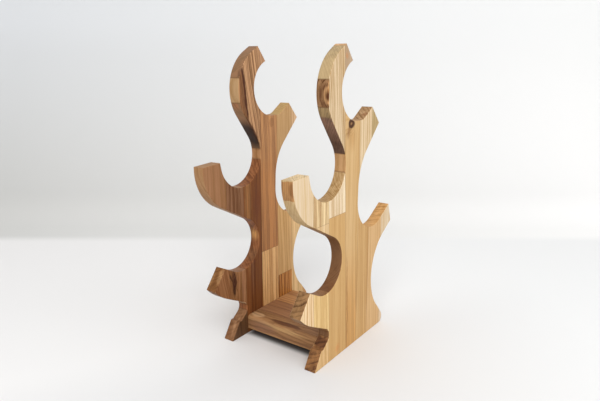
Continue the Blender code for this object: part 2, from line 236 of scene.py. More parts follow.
def add(tree, kind, settings, inputs, output=0):
    """Adds a shader node, sets its options, sets or links its sockets, and gives an output.
    Sockets go by number where several share a name, and in Map Range, which takes a value
    at 0 from the range at 1 and 2 to the range at 3 and 4. Mix takes its share at 0 and its
    two colours at 6 and 7, and gives the result at 2."""
    node = tree.nodes.new("ShaderNode" + kind)
    for option, value in settings.items():
        setattr(node, option, value)
    for socket, value in inputs.items():
        if isinstance(value, bpy.types.NodeSocket):
            tree.links.new(value, node.inputs[socket])
        else:
            node.inputs[socket].default_value = value
    return node.outputs[output]


# Options that many nodes share
smooth = {"interpolation_type": "SMOOTHSTEP"}
of_colours = {"data_type": "RGBA"}
placed = {"vector_type": "TEXTURE"}
times = {"operation": "MULTIPLY"}
times_plus = {"operation": "MULTIPLY_ADD"}
minus = {"operation": "SUBTRACT"}
length_of = {"operation": "LENGTH"}
size_of = {"operation": "ABSOLUTE"}
dot = {"operation": "DOT_PRODUCT"}


def oiled_wood(name, face, face_line, edge, edge_line, heart, ring, lean=1.0, sway=3.0,
               contrast=1.0, knots=(), face_marks_and_painted_light=(), edge_marks_and_painted_light=(), joints=(), along_x=False):
    """Oiled solid wood, cut from a log whose heart runs along the grain through heart, a
    place in mm. Growth rings lie ring mm apart round it: the distance from the heart over
    the ring width is counted, and each count's share darkens slowly and falls off sharply.
    face and face_line colour a panel's faces, edge and edge_line what the saw has cut
    across, and lean, in degrees, turns the grain towards the front. A knot is a place, a
    size, a count of waves, a phase and a colour: the growth rings run round it, and its own
    rings are cosines of the distance. A stain is a place, a size, a lean, a softness, a
    colour and a strength: most are the wood's own stains, and some are painted highlights
    and painted shade. joints are glue lines, each a hair's breadth darker."""
    # The oil soaks in and leaves no film. The eye sees deep, warm colour under a low satin
    # sheen, because the open fibres scatter most of the gloss, and the late wood, which is
    # denser, shines a little more than the early wood.
    rough_early, rough_late, specular, ior = 0.6, 0.48, 0.2, 1.5
    relief_strength, relief_metres = 0.25, 0.0002

    # Patterns of the grain, in waves to the mm across it (twice) and along it, and how far
    # each moves the grain in mm, or how much it darkens the wood. Real fibres are 0.02 mm
    # wide and real pores 0.1 to 0.2 mm, too fine to show, so they are drawn 0.8 and 0.4 mm
    # wide.
    fray_waves, fray_mm = (0.13, 0.13, 0.04), (8.0, 8.0, 8.0)   # 8 by 25 mm
    wander_waves, wander_mm = (0.016, 0.016, 0.0055), sway * 5.0   # 60 by 180 mm
    fibre_waves, fibre_dark = (1.2, 1.2, 0.02), 1.2   # 0.8 by 50 mm
    streak_waves, streak_dark = (0.14, 0.14, 0.003), 1.9   # 7 by 330 mm
    pore_waves, pore_dark = (2.6, 2.6, 0.14), 0.3   # 0.4 by 7 mm
    ring_dark, start_dark = 0.85, 0.25

    material = bpy.data.materials.new(name)
    material.use_nodes = True
    tree = material.node_tree
    shader = tree.nodes["Principled BSDF"]
    place = add(tree, "TexCoord", {}, {}, "Object")
    millimetres = add(tree, "VectorMath", {"operation": "SCALE"}, {0: place, 3: 1.0 / MM})
    turned = add(tree, "Mapping", placed, {
        "Vector": millimetres, "Location": heart,
        "Rotation": (0.0, math.radians(90.0), 0.0) if along_x else (math.radians(lean), 0.0, 0.0)})
    drawn_out = add(tree, "VectorMath", times, {0: turned, 1: fray_waves})
    blur = add(tree, "TexNoise", {}, {"Vector": drawn_out, "Scale": 1.0, "Detail": 4.0}, "Color")
    blur = add(tree, "VectorMath", minus, {0: blur, 1: (0.5, 0.5, 0.5)})
    frayed = add(tree, "VectorMath", times_plus, {0: blur, 1: fray_mm, 2: millimetres})

    # Growth rings: slowly darker from early to late wood, then sharply pale again, each of
    # its own width and darkness. A knot pushes the rings near it outwards, by three at most.
    late_from, late_to, end_from, palest_ring = 0.42, 0.88, 0.92, 0.3
    uneven_waves, uneven_rings = 0.4, 2.0
    swell_from, swell_to, swell_rings = 0.3, 3.0, 3.0
    slow = add(tree, "VectorMath", times, {0: turned, 1: wander_waves})
    wander = add(tree, "TexNoise", {}, {"Vector": slow, "Scale": 1.0, "Detail": 4.0}, "Color")
    wander = add(tree, "VectorMath", minus, {0: wander, 1: (0.5, 0.5, 0.5)})
    bent = add(tree, "VectorMath", times_plus,
               {0: wander, 1: (wander_mm, wander_mm, 0.0), 2: turned})
    round_heart = add(tree, "VectorMath", times, {0: bent, 1: (1.0, 1.0, 0.0)})
    distance = add(tree, "VectorMath", length_of, {0: round_heart}, "Value")
    years = add(tree, "Math", {"operation": "DIVIDE"}, {0: distance, 1: ring})
    uneven = add(tree, "TexNoise", {"noise_dimensions": "1D"},
                 {"W": years, "Scale": uneven_waves, "Detail": 1.0})
    years = add(tree, "Math", times_plus, {0: uneven, 1: uneven_rings, 2: years})
    cores = []
    for centre, size, waves, phase, core in knots:
        off = add(tree, "Mapping", placed, {"Vector": frayed, "Location": centre, "Scale": size})
        reach = add(tree, "VectorMath", length_of, {0: off}, "Value")
        swell = add(tree, "MapRange", smooth,
                    {0: reach, 1: swell_from, 2: swell_to, 3: swell_rings, 4: 0.0})
        years = add(tree, "Math", {"operation": "ADD"}, {0: years, 1: swell})
        cores.append((reach, waves, phase, core))
    growth = add(tree, "Math", {"operation": "FRACT"}, {0: years})
    late = add(tree, "MapRange", smooth, {0: growth, 1: late_from, 2: late_to, 3: 0.0, 4: 1.0})
    sharp_end = add(tree, "MapRange", smooth, {0: growth, 1: end_from, 2: 1.0, 3: 1.0, 4: 0.0})
    late = add(tree, "Math", times, {0: late, 1: sharp_end})
    year = add(tree, "Math", {"operation": "FLOOR"}, {0: years})
    weather = add(tree, "TexWhiteNoise", {"noise_dimensions": "1D"}, {"W": year})
    weather = add(tree, "MapRange", {}, {0: weather, 1: 0.0, 2: 1.0, 3: palest_ring, 4: 1.0})
    late = add(tree, "Math", times, {0: late, 1: weather})

    # Fibres, broad streaks and pores, and the tone that all of these make together
    pore_from, pore_to = 0.62, 0.74
    thin = add(tree, "VectorMath", times, {0: turned, 1: fibre_waves})
    fibres = add(tree, "TexNoise", {}, {"Vector": thin, "Scale": 1.0, "Detail": 4.0})
    fibres = add(tree, "Math", minus, {0: fibres, 1: 0.5})
    long = add(tree, "VectorMath", times, {0: bent, 1: streak_waves})
    streaks = add(tree, "TexNoise", {}, {"Vector": long, "Scale": 1.0, "Detail": 3.0})
    streaks = add(tree, "Math", minus, {0: streaks, 1: 0.5})
    short = add(tree, "VectorMath", times, {0: turned, 1: pore_waves})
    pores = add(tree, "TexNoise", {}, {"Vector": short, "Scale": 1.0, "Detail": 1.0})
    pores = add(tree, "MapRange", smooth,
                {0: pores, 1: pore_from, 2: pore_to, 3: 0.0, 4: pore_dark})
    tone = add(tree, "Math", times_plus, {0: late, 1: ring_dark, 2: pores})
    tone = add(tree, "Math", times_plus, {0: fibres, 1: fibre_dark, 2: tone})
    tone = add(tree, "Math", times_plus, {0: streaks, 1: streak_dark, 2: tone})
    tone = add(tree, "Math", {"operation": "MULTIPLY_ADD", "use_clamp": True},
               {0: tone, 1: contrast, 2: start_dark})

    def with_marks_and_painted_light(colour, marks):
        """The colour with each stain's own mixed in: the wood's own stains, and painted
        highlights and painted shade. The share is the stain's strength inside and falls to
        nothing at its edge, and the grain still shows in it."""
        mark_early, mark_late = 1.2, 0.6
        for centre, size, turn, softness, mark_colour, strength in marks:
            off = add(tree, "Mapping", placed,
                      {"Vector": frayed, "Location": centre, "Scale": size,
                       "Rotation": (math.radians(turn), 0.0, 0.0)})
            reach = add(tree, "VectorMath", length_of, {0: off}, "Value")
            share = add(tree, "MapRange", smooth,
                        {0: reach, 1: 1.0 - softness, 2: 1.0, 3: strength, 4: 0.0})
            shade = add(tree, "MapRange", {},
                        {0: tone, 1: 0.0, 2: 1.0, 3: mark_early, 4: mark_late})
            shade = add(tree, "VectorMath", {"operation": "SCALE"},
                        {0: linear(mark_colour)[:3], 3: shade})
            colour = add(tree, "Mix", of_colours, {0: share, 6: colour, 7: shade}, 2)
        return colour

    # What faces along X shows the face's colours, and what the saw has cut the edge's
    all_edge, all_face = 0.2, 0.7
    on_face = with_marks_and_painted_light(add(tree, "Mix", of_colours,
                          {0: tone, 6: linear(face), 7: linear(face_line)}, 2), face_marks_and_painted_light)
    on_edge = with_marks_and_painted_light(add(tree, "Mix", of_colours,
                          {0: tone, 6: linear(edge), 7: linear(edge_line)}, 2), edge_marks_and_painted_light)
    upright = add(tree, "NewGeometry", {}, {}, "Normal")
    upright = add(tree, "VectorMath", size_of, {0: upright})
    upright = add(tree, "SeparateXYZ", {}, {0: upright}, "X")
    cut = add(tree, "MapRange", smooth, {0: upright, 1: all_edge, 2: all_face, 3: 1.0, 4: 0.0})
    colour = add(tree, "Mix", of_colours, {0: cut, 6: on_face, 7: on_edge}, 2)

    # Over these go each knot's own rings, dark in the waves' troughs, out to about its size,
    # and then the glue lines, which fade from 0.1 to 0.5 mm
    trough, core_dark, core_pale, core_whole, core_end = -0.3, 0.97, 0.15, 0.8, 1.2
    line_from, line_to, line_strength, line_colour = 0.1, 0.5, 0.45, "#5A3A20"
    for reach, waves, phase, core in cores:
        wave = add(tree, "Math", times_plus, {0: reach, 1: waves * math.tau, 2: phase * math.tau})
        wave = add(tree, "Math", {"operation": "COSINE"}, {0: wave})
        wave = add(tree, "MapRange", {},
                   {0: wave, 1: trough, 2: 1.0, 3: core_dark, 4: core_pale})
        share = add(tree, "MapRange", smooth,
                    {0: reach, 1: core_whole, 2: core_end, 3: 1.0, 4: 0.0})
        share = add(tree, "Math", times, {0: share, 1: wave})
        colour = add(tree, "Mix", of_colours, {0: share, 6: colour, 7: linear(core)}, 2)
    for y, z, slant in joints:
        square = (0.0, math.cos(math.radians(slant)), math.sin(math.radians(slant)))
        off = add(tree, "VectorMath", dot, {0: millimetres, 1: square}, "Value")
        off = add(tree, "Math", minus, {0: off, 1: y * square[1] + z * square[2]})
        off = add(tree, "Math", size_of, {0: off})
        share = add(tree, "MapRange", smooth,
                    {0: off, 1: line_from, 2: line_to, 3: line_strength, 4: 0.0})
        colour = add(tree, "Mix", of_colours, {0: share, 6: colour, 7: linear(line_colour)}, 2)

    tree.links.new(colour, shader.inputs["Base Color"])
    gloss = add(tree, "MapRange", {}, {0: tone, 1: 0.0, 2: 1.0, 3: rough_early, 4: rough_late})
    tree.links.new(gloss, shader.inputs["Roughness"])
    relief = add(tree, "Bump", {"invert": True},
                 {"Strength": relief_strength, "Distance": relief_metres, "Height": tone})
    tree.links.new(relief, shader.inputs["Normal"])
    shader.inputs["IOR"].default_value = ior
    shader.inputs["Specular IOR Level"].default_value = specular
    return material


def fit_staves(side, column, looks, butt=None):
    """Puts the pieces of one stave in their nodes' places, lowest first. column counts the
    staves from the front, and butt is the height of the butt joint in mm."""
    joints = glue_lines[side][max(column - 1, 0):column + 1]
    joints += ((0.0, butt, 90.0),) if butt else ()
    for (piece_name, look), (loop, sawn) in zip(looks.items(), stave_pieces(side, column, butt)):
        node = f"{side}_{piece_name}"
        piece = solid_stave(f"{node}_stave", loop, sawn, *panel_faces[side], arris)
        piece.data.materials.append(oiled_wood(f"{node}_oiled_wood", joints=joints, **look))
        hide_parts(node)
        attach(piece, "root")


outline = saw_path(bends, bend_step)

fit_staves("right", column=0, looks={
    "nose_tip": dict(
        face="#E7CDA4", face_line="#B98850", edge="#987148", edge_line="#513217",
        heart=(37.0, -10.0, 0.0), ring=4.6, contrast=0.85),
    "front_arm_tip": dict(
        face="#D8C2A4", face_line="#CBAE82", edge="#C4A97E", edge_line="#AE8D60",
        heart=(150.0, -60.0, 0.0), ring=3.2, contrast=1.0,
        edge_marks_and_painted_light=(((82.5, -122.0, 306.0), (40.0, 30.0, 6.0), 0.0, 0.4, "#D6BC92", 0.8),
                     ((82.5, -146.0, 288.0), (40.0, 16.0, 14.6), 12.0, 0.1, "#A87848", 0.95),
                     ((92.5, -146.0, 290.0), (8.5, 16.0, 12.0), 12.0, 0.4, "#8A5C34", 0.7)))})
fit_staves("left", column=0, looks={
    "nose_tip": dict(
        face="#986A45", face_line="#6B3E1F", edge="#80542C", edge_line="#613A16",
        heart=(-130.0, -10.0, 0.0), ring=5.0, lean=12.0,
        edge_marks_and_painted_light=(((-75.0, -113.0, 121.0), (8.0, 4.0, 19.0), -37.0, 0.7, "#B4885A", 0.6),
                     ((-89.0, -118.0, 114.0), (4.0, 3.5, 20.0), -37.0, 0.7, "#A87C4C", 0.45))),
    "front_arm_tip": dict(
        face="#9D7150", face_line="#7F5730", edge="#A47C55", edge_line="#865E35",
        heart=(-170.0, -20.0, 0.0), ring=5.0, contrast=0.85)})


# Second staves, from the toe to the back of the horn, glued on behind the first. The notch
# above the foot and the two front cradles part each stave, and the right one is two lengths
# of wood, butted at the arm.

fit_staves("right", column=1, butt=226.04, looks={
    "toe": dict(
        face="#DDBB8B", face_line="#B38749", edge="#93653B", edge_line="#543219",
        heart=(40.0, 40.0, 0.0), ring=4.4,
        edge_marks_and_painted_light=(((82.0, -64.0, 36.0), (30.0, 12.0, 9.0), 0.0, 0.4, "#5E3820", 0.8),)),
    "nose": dict(
        face="#E4C68D", face_line="#B68848", edge="#926945", edge_line="#69431F",
        heart=(170.0, 20.0, 0.0), ring=3.6, contrast=0.8),
    "front_arm_lower": dict(
        face="#D9BE94", face_line="#B98E55", edge="#A27B52", edge_line="#7C562D",
        heart=(170.0, -180.0, 0.0), ring=3.6),
    "front_arm_upper": dict(
        face="#E1C799", face_line="#976A35", edge="#BB9A6B", edge_line="#866335",
        heart=(170.0, -180.0, 0.0), ring=3.6, contrast=1.3),
    "horn_back": dict(
        face="#DEAD74", face_line="#A56D33", edge="#966F4A", edge_line="#543012",
        heart=(30.0, -10.0, 0.0), ring=3.6, contrast=1.7,
        knots=(((92.5, -64.0, 410.0), (14.0, 10.0, 16.5), 0.75, 0.5, "#4E260A"),),
        edge_marks_and_painted_light=(((92.5, -64.0, 410.0), (12.0, 15.0, 15.0), 0.0, 0.25, "#B4885A", 0.65),))})
fit_staves("left", column=1, looks={
    "toe": dict(
        face="#604229", face_line="#452A12", edge="#8B6342", edge_line="#6B4323",
        heart=(-130.0, 40.0, 0.0), ring=5.0, contrast=0.8,
        edge_marks_and_painted_light=(((-92.5, -80.0, 14.0), (9.0, 30.0, 24.0), 0.0, 0.6, "#744A2A", 0.8),
                     ((-80.0, -72.0, 20.0), (3.0, 30.0, 30.0), 0.0, 0.8, "#A47A56", 0.6))),
    "nose": dict(
        face="#9D6F49", face_line="#6D4421", edge="#986E4F", edge_line="#754D2B",
        heart=(-60.0, -160.0, 0.0), ring=4.5, sway=6.0, contrast=1.2,
        # A painted highlight on the top of the notch, over the shade there
        edge_marks_and_painted_light=(((-82.0, -60.0, 58.5), (30.0, 9.0, 7.0), 0.0, 0.6, "#E0BC90", 0.85),),
        knots=(((-72.5, -84.5, 106.0), (10.0, 4.4, 13.0), 1.0, 0.5, "#3A1A0A"),),
        face_marks_and_painted_light=(((-72.5, -84.0, 103.0), (14.0, 8.0, 24.0), -4.0, 0.8, "#4A2616", 0.9),
                     ((-72.5, -84.5, 88.0), (14.0, 4.0, 14.0), 6.0, 0.7, "#34180C", 0.8),
                     ((-72.5, -95.0, 117.0), (14.0, 2.4, 19.0), 30.0, 0.6, "#4A2A18", 0.85),
                     ((-72.5, -87.0, 122.0), (14.0, 2.2, 15.0), -18.0, 0.6, "#4A2A18", 0.8),
                     ((-72.5, -62.0, 92.0), (14.0, 7.0, 40.0), 0.0, 0.5, "#94694A", 0.7))),
    "front_arm": dict(
        face="#865E41", face_line="#603A1D", edge="#A97F58", edge_line="#815A30",
        heart=(-160.0, -190.0, 0.0), ring=4.5, contrast=1.35),
    "horn_back": dict(
        face="#B5865B", face_line="#946638", edge="#AC8A62", edge_line="#967044",
        heart=(-60.0, -150.0, 0.0), ring=4.0, contrast=0.8)})


# Third staves, from the foot to the top of the horn. They are the panel's front post, of the
# same hardwood, parted by the front cradle, and the right one is butted below that cradle.

fit_staves("right", column=2, butt=232.48, looks={
    "trunk_front_lower": dict(
        face="#CAA46D", face_line="#A6763A", edge="#7B5637", edge_line="#573519",
        heart=(190.0, -160.0, 0.0), ring=4.6, contrast=0.55,
        face_marks_and_painted_light=(((92.5, -28.0, 14.0), (8.0, 10.0, 10.0), 0.0, 0.8, "#C4844C", 0.5),),
        edge_marks_and_painted_light=(((82.0, -45.0, 118.0), (30.0, 40.0, 14.0), 0.0, 0.6, "#6A4226", 0.6),)),
    "trunk_front_upper": dict(
        face="#EAD9BB", face_line="#B38B57", edge="#B8976A", edge_line="#8E6A3B",
        heart=(150.0, 80.0, 0.0), ring=2.7, contrast=1.2),
    "horn": dict(
        face="#D9C2A0", face_line="#A37D49", edge="#B89E74", edge_line="#A88E66",
        heart=(170.0, 70.0, 400.0), ring=3.0, lean=5.0, contrast=1.1,
        edge_marks_and_painted_light=(((82.0, -24.0, 472.0), (40.0, 36.0, 22.0), 0.0, 0.7, "#A68E68", 0.65),
                     ((82.0, -60.0, 388.0), (40.0, 30.0, 12.0), 0.0, 0.1, "#917751", 0.95),
                     ((82.0, -30.0, 345.0), (40.0, 60.0, 40.0), 0.0, 0.1, "#7C5C4A", 0.97),
                     # A near-black patch on the horn's edge by the upper cradle: partly dark wood,
                     # partly painted shade
                     ((82.0, -40.0, 318.0), (40.0, 60.0, 56.0), 0.0, 0.9, "#2C180A", 0.92)))})
fit_staves("left", column=2, looks={
    "trunk_front": dict(
        face="#7C4A24", face_line="#5A3012", edge="#8E5934", edge_line="#663816",
        heart=(-160.0, -160.0, 0.0), ring=5.0, contrast=1.25,
        face_marks_and_painted_light=(((-72.5, -24.0, 225.0), (12.0, 12.0, 46.0), 0.0, 0.7, "#6A3A20", 0.7),
                     ((-72.5, -47.0, 210.0), (12.0, 10.0, 130.0), 0.0, 0.6, "#9C6C3E", 0.75),
                     ((-72.5, -38.0, 110.0), (12.0, 4.0, 60.0), 0.0, 0.7, "#86583A", 0.7)),
        edge_marks_and_painted_light=(((-86.0, -22.0, 168.0), (16.0, 20.0, 15.0), 0.0, 0.9, "#BE8A50", 0.85),
                     ((-82.0, -30.0, 134.0), (30.0, 20.0, 14.0), 0.0, 0.7, "#6E4A2E", 0.6))),
    "horn": dict(
        face="#C0936A", face_line="#7A5534", edge="#8D6748", edge_line="#7D5D3E",
        heart=(-150.0, 90.0, 400.0), ring=4.4, lean=10.0, contrast=1.5,
        face_marks_and_painted_light=(((-72.5, -55.0, 405.0), (14.0, 9.5, 64.0), 8.0, 0.3, "#7E5230", 0.95),
                     ((-72.5, -48.5, 406.0), (14.0, 3.4, 60.0), 8.5, 0.4, "#45200A", 0.95),
                     ((-72.5, -32.0, 348.0), (14.0, 6.0, 34.0), 35.0, 0.5, "#45220C", 0.9)),
        # A near-black patch on the horn's edge by the upper cradle: partly dark wood, partly
        # painted shade
        edge_marks_and_painted_light=(((-82.0, -24.0, 340.0), (40.0, 40.0, 42.0), 0.0, 0.7, "#2A1406", 0.96),
                     ((-74.0, -60.0, 441.0), (6.0, 10.0, 12.0), 0.0, 0.7, "#6A4630", 0.6),
                     ((-84.0, -60.0, 388.0), (7.0, 12.0, 10.0), 0.0, 0.8, "#96603C", 0.6)))})


# Fourth staves, the middle post up to the floor of the upper cradle, and the horn's tip
# beyond it, glued to the post before it. The left post is butted low down.

fit_staves("right", column=3, looks={
    "trunk_middle": dict(
        face="#CDAB7B", face_line="#B18546", edge="#BF9669", edge_line="#986E3F",
        heart=(200.0, 150.0, 0.0), ring=6.5, contrast=0.6,
        knots=(((92.5, 2.0, 366.0), (6.0, 10.0, 7.2), 0.8, 0.0, "#44220A"),),
        face_marks_and_painted_light=(((92.5, 12.0, 20.0), (30.0, 60.0, 190.0), 0.0, 0.8, "#BC8C50", 0.85),
                     ((92.5, -1.0, 80.0), (8.0, 2.6, 110.0), 2.1, 0.7, "#8E6030", 0.75),
                     ((92.5, -5.0, 356.0), (6.0, 9.0, 16.0), -26.0, 0.9, "#84582C", 0.8),
                     ((92.5, 2.0, 366.0), (6.0, 10.0, 8.0), 0.0, 0.6, "#8A5A2C", 0.7),
                     ((92.5, 5.5, 361.0), (6.0, 4.5, 3.5), 0.0, 0.5, "#3A1C08", 0.85),
                     ((92.5, 6.0, 345.0), (6.0, 16.0, 28.0), 0.0, 0.9, "#B0854E", 0.6))),
    "horn_tip": dict(
        face="#B8A087", face_line="#9A774B", edge="#CEA67D", edge_line="#A97F50",
        heart=(170.0, 110.0, 400.0), ring=4.0,
        face_marks_and_painted_light=(((92.5, -14.0, 466.0), (4.0, 6.0, 7.0), 0.0, 0.8, "#C4844C", 0.6),))})
fit_staves("left", column=3, butt=134.62, looks={
    "trunk_middle_lower": dict(
        face="#E5B980", face_line="#9D6832", edge="#9B6A3E", edge_line="#774A20",
        heart=(-150.0, 150.0, 0.0), ring=4.2, contrast=1.2),
    "trunk_middle_upper": dict(
        face="#BD8A5A", face_line="#774E30", edge="#AF8158", edge_line="#865B30",
        heart=(-150.0, -120.0, 0.0), ring=4.4, contrast=1.15,
        face_marks_and_painted_light=(((-72.5, 12.0, 195.0), (40.0, 70.0, 125.0), 0.0, 0.4, "#AE7848", 0.8),
                     ((-72.5, 18.0, 358.0), (14.0, 7.0, 9.0), 0.0, 0.25, "#8E623C", 0.6))),
    "horn_tip": dict(
        face="#B38A68", face_line="#865E38", edge="#B58F68", edge_line="#946D41",
        heart=(-60.0, 120.0, 400.0), ring=5.0, lean=8.0)})


# Fifth staves, the rear post and the root of the antler, the arm behind the upper cradle,
# glued to the middle post. The left post is butted low down.

fit_staves("right", column=4, looks={
    "trunk_rear": dict(
        face="#C7A16C", face_line="#A37439", edge="#C08E58", edge_line="#956530",
        heart=(170.0, -60.0, 0.0), ring=6.0, contrast=0.7),
    "antler": dict(
        face="#D9C29F", face_line="#B28D58", edge="#B08C64", edge_line="#755127",
        heart=(160.0, 150.0, 0.0), ring=5.0,
        edge_marks_and_painted_light=(((88.0, 52.0, 376.0), (7.0, 6.0, 8.0), 40.0, 0.5, "#8A5E3A", 0.7),))})
fit_staves("left", column=4, butt=76.81, looks={
    "trunk_rear_lower": dict(
        face="#CD8E4A", face_line="#703E10", edge="#9B6A3E", edge_line="#774A20",
        heart=(-150.0, 150.0, 0.0), ring=4.4, contrast=1.3),
    "trunk_rear_upper": dict(
        face="#D3AB75", face_line="#AF8349", edge="#B8844F", edge_line="#8E5D2B",
        heart=(-140.0, -60.0, 0.0), ring=6.5, lean=3.0),
    "antler": dict(
        face="#BC9769", face_line="#9E7645", edge="#B4945F", edge_line="#9A7746",
        heart=(-150.0, 150.0, 0.0), ring=7.0, contrast=0.6)})


# Sixth staves, along the waist, with the root of the back arm, and the antler's tip. The
# same hardwood, glued to the rear post and sawn down to these slim pieces.

fit_staves("right", column=5, looks={
    "waist": dict(
        face="#D2AD7E", face_line="#B08348", edge="#CD9E65", edge_line="#9F6F38",
        heart=(180.0, -40.0, 0.0), ring=7.0, contrast=0.6),
    "antler_tip": dict(
        face="#B9A379", face_line="#95763F", edge="#B69A64", edge_line="#91713C",
        heart=(140.0, 180.0, 0.0), ring=5.0)})
fit_staves("left", column=5, looks={
    "waist": dict(
        face="#EBC893", face_line="#C19960", edge="#B8844F", edge_line="#8E5D2B",
        heart=(-40.0, -30.0, 0.0), ring=7.0),
    "antler_tip": dict(
        face="#D2AE89", face_line="#B08A5C", edge="#C6A679", edge_line="#A27F4D",
        heart=(-20.0, 160.0, 0.0), ring=6.0)})


# Rearmost staves: the tip of the heel, which stands on the table, and the tip of the back
# arm. Both are what the saw leaves of the last board that is glued on.

fit_staves("right", column=6, looks={
    "heel_tip": dict(
        face="#D8BFA3", face_line="#BF9A66", edge="#CD9E65", edge_line="#9F6F38",
        heart=(130.0, -40.0, 0.0), ring=6.0),
    "back_arm_tip": dict(
        face="#D5C2A5", face_line="#BF9B68", edge="#CD9E65", edge_line="#9F6F38",
        heart=(130.0, -40.0, 0.0), ring=6.0)})
fit_staves("left", column=6, looks={
    "heel_tip": dict(
        face="#CE9D68", face_line="#A97841", edge="#B8844F", edge_line="#8E5D2B",
        heart=(-30.0, 60.0, 0.0), ring=6.0),
    "back_arm_tip": dict(
        face="#CE9D68", face_line="#A97841", edge="#B8844F", edge_line="#8E5D2B",
        heart=(-30.0, 60.0, 0.0), ring=6.0)})


# Dowels. Turned pins of raw wood, three to a side, glued into bores in the panel's inner
# face and the shelf's ends, where they don't show.

for side in ("right", "left"):
    for place_name in ("front", "middle", "rear"):
        node = f"{side}_dowel_{place_name}"
        # The oil never reaches the pins: the eye would see pale wood in fine rings
        pin_wood = oiled_wood(f"{node}_raw_wood", face="#C9A473", face_line="#B08652",
                              edge="#CDAA7B", edge_line="#A97F4E", heart=(0.0, 14.0, 60.0),
                              ring=1.6, along_x=True, sway=1.0)
        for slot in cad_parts[node].material_slots:
            slot.material = pin_wood


# Shelf. Three staves of darker wood, glued edge to edge with the grain from panel to panel.
# The front one has its upper front edge rounded over, and all three ends are glued on dowels.

# Half the shelf's length, the heights of its two faces, its edges' radii, and its front edge,
# two glue lines and rear edge, all in mm
shelf_half, shelf_low, shelf_high = 72.2, 9.0, 33.3
shelf_rounding, shelf_arris, shelf_end_arris = 5.0, 0.6, 0.3
shelf_joints = (-53.33, -25.38, 24.67, 76.67)


def shelf_stave(name, front, rear, rounded):
    """A closed body: the stave's section in y and z carried along X. The front stave's upper
    front edge is a quarter circle, and every other edge of the section has a small one: a
    point lies at the circle's centre plus the radius times (cos a, sin a)."""
    radius = np.array((shelf_arris, shelf_rounding if rounded else shelf_arris,
                       shelf_arris, shelf_arris))
    corner = np.array(((front, shelf_low), (front, shelf_high), (rear, shelf_high),
                       (rear, shelf_low)))
    inner = corner + radius[:, None] * np.array(((1, 1), (1, -1), (-1, -1), (-1, 1)))
    start = np.radians((270.0, 180.0, 90.0, 0.0))
    angle = start[:, None] - np.radians(np.linspace(0.0, 90.0, 13))
    section = inner[:, None] + radius[:, None, None] * np.stack((np.cos(angle), np.sin(angle)), -1)
    loop = section.reshape(-1, 2)
    whole = np.ones(len(loop), bool)
    return solid_stave(name, loop, whole, -shelf_half, shelf_half, shelf_end_arris)


shelf_looks = {
    "front": dict(
        face="#AA7E54", face_line="#6E4A2C",
        heart=(0.0, 40.0, -60.0), ring=5.0, sway=6.0, contrast=0.75,
        face_marks_and_painted_light=(((2.0, -43.0, 33.3), (38.0, 7.0, 4.0), 0.0, 0.4, "#562E1C", 0.8),
                     ((-58.0, -43.0, 33.3), (15.0, 9.5, 8.0), 0.0, 0.4, "#C49C72", 0.9),
                     # A painted highlight along the top of the front face, into its rounded edge
                     ((-8.0, -53.3, 27.0), (74.0, 6.0, 5.0), 0.0, 0.6, "#B48E5E", 0.75),
                     ((-42.0, -53.3, 20.0), (42.0, 6.0, 14.0), 0.0, 0.7, "#8A6248", 0.85),
                     # A painted shade along the front face's lower edge
                     ((12.0, -53.3, 14.0), (90.0, 6.0, 4.0), 0.0, 0.7, "#6E4A30", 0.7))),
    "middle": dict(
        face="#A47652", face_line="#785339",
        heart=(0.0, -60.0, -60.0), ring=6.0, contrast=0.9,
        face_marks_and_painted_light=(((30.0, 0.0, 33.3), (50.0, 20.0, 8.0), 0.0, 0.6, "#8E5A3A", 0.6),)),
    "rear": dict(
        face="#C3915F", face_line="#90633F",
        heart=(0.0, 130.0, -60.0), ring=6.0,
        face_marks_and_painted_light=(((20.0, 50.0, 33.3), (50.0, 20.0, 8.0), 0.0, 0.6, "#A06A42", 0.6),))}

for number, (place_name, look) in enumerate(shelf_looks.items()):
    node = f"shelf_{place_name}"
    front = shelf_joints[number] + (0.0 if place_name == "front" else glue_gap / 2)
    rear = shelf_joints[number + 1] - (0.0 if place_name == "rear" else glue_gap / 2)
    piece = shelf_stave(f"{node}_stave", front, rear, rounded=place_name == "front")
    piece.data.materials.append(oiled_wood(
        f"{node}_oiled_wood", edge=look["face"], edge_line=look["face_line"],
        edge_marks_and_painted_light=look["face_marks_and_painted_light"], along_x=True, **look))
    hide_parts(node)
    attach(piece, "root")


# Camera, at the photograph's angle, and the pale sweep that the rack stands on: a sheet of
# matt paper on the floor that turns up behind it. Lengths are in metres.

view_turn, view_height = math.radians(35.52), math.radians(12.04)
camera = bpy.data.objects.new("camera", bpy.data.cameras.new("camera"))
camera.location = (0.4986, -0.6983, 0.4497)
camera.rotation_euler = (math.pi / 2 - view_height, 0.0, view_turn)
camera.data.sensor_width = 36.0
camera.data.lens = 32.34
camera.data.shift_x, camera.data.shift_y = -0.0007, -0.0315
camera.data.clip_start, camera.data.clip_end = 0.02, 20.0
bpy.context.scene.collection.objects.link(camera)
bpy.context.scene.camera = camera


def sweep(name, width, front, back, height, radius):
    """A sheet that runs flat from front to back, turns up round a quarter circle and rises:
    that profile, in distance away from the camera and height, carried across its width."""
    columns = 9
    angle = np.radians(np.linspace(0.0, 90.0, 33))
    away = np.concatenate(((front,), back + radius * np.sin(angle), (back + radius,)))
    up = np.concatenate(((0.0,), radius * (1.0 - np.cos(angle)), (height,)))
    across = np.linspace(-width / 2, width / 2, columns)
    verts = np.stack((across[:, None] * math.cos(view_turn) - away * math.sin(view_turn),
                      across[:, None] * math.sin(view_turn) + away * math.cos(view_turn),
                      np.broadcast_to(up, (columns, len(up)))), -1)
    number = np.arange(columns * len(up)).reshape(columns, -1)
    faces = np.stack((number[:-1, :-1], number[1:, :-1], number[1:, 1:], number[:-1, 1:]), -1)
    mesh = bpy.data.meshes.new(name)
    mesh.from_pydata(verts.reshape(-1, 3).tolist(), [], faces.reshape(-1, 4).tolist())
    mesh.shade_smooth()
    sheet = bpy.data.objects.new(name, mesh)
    bpy.context.scene.collection.objects.link(sheet)
    return sheet
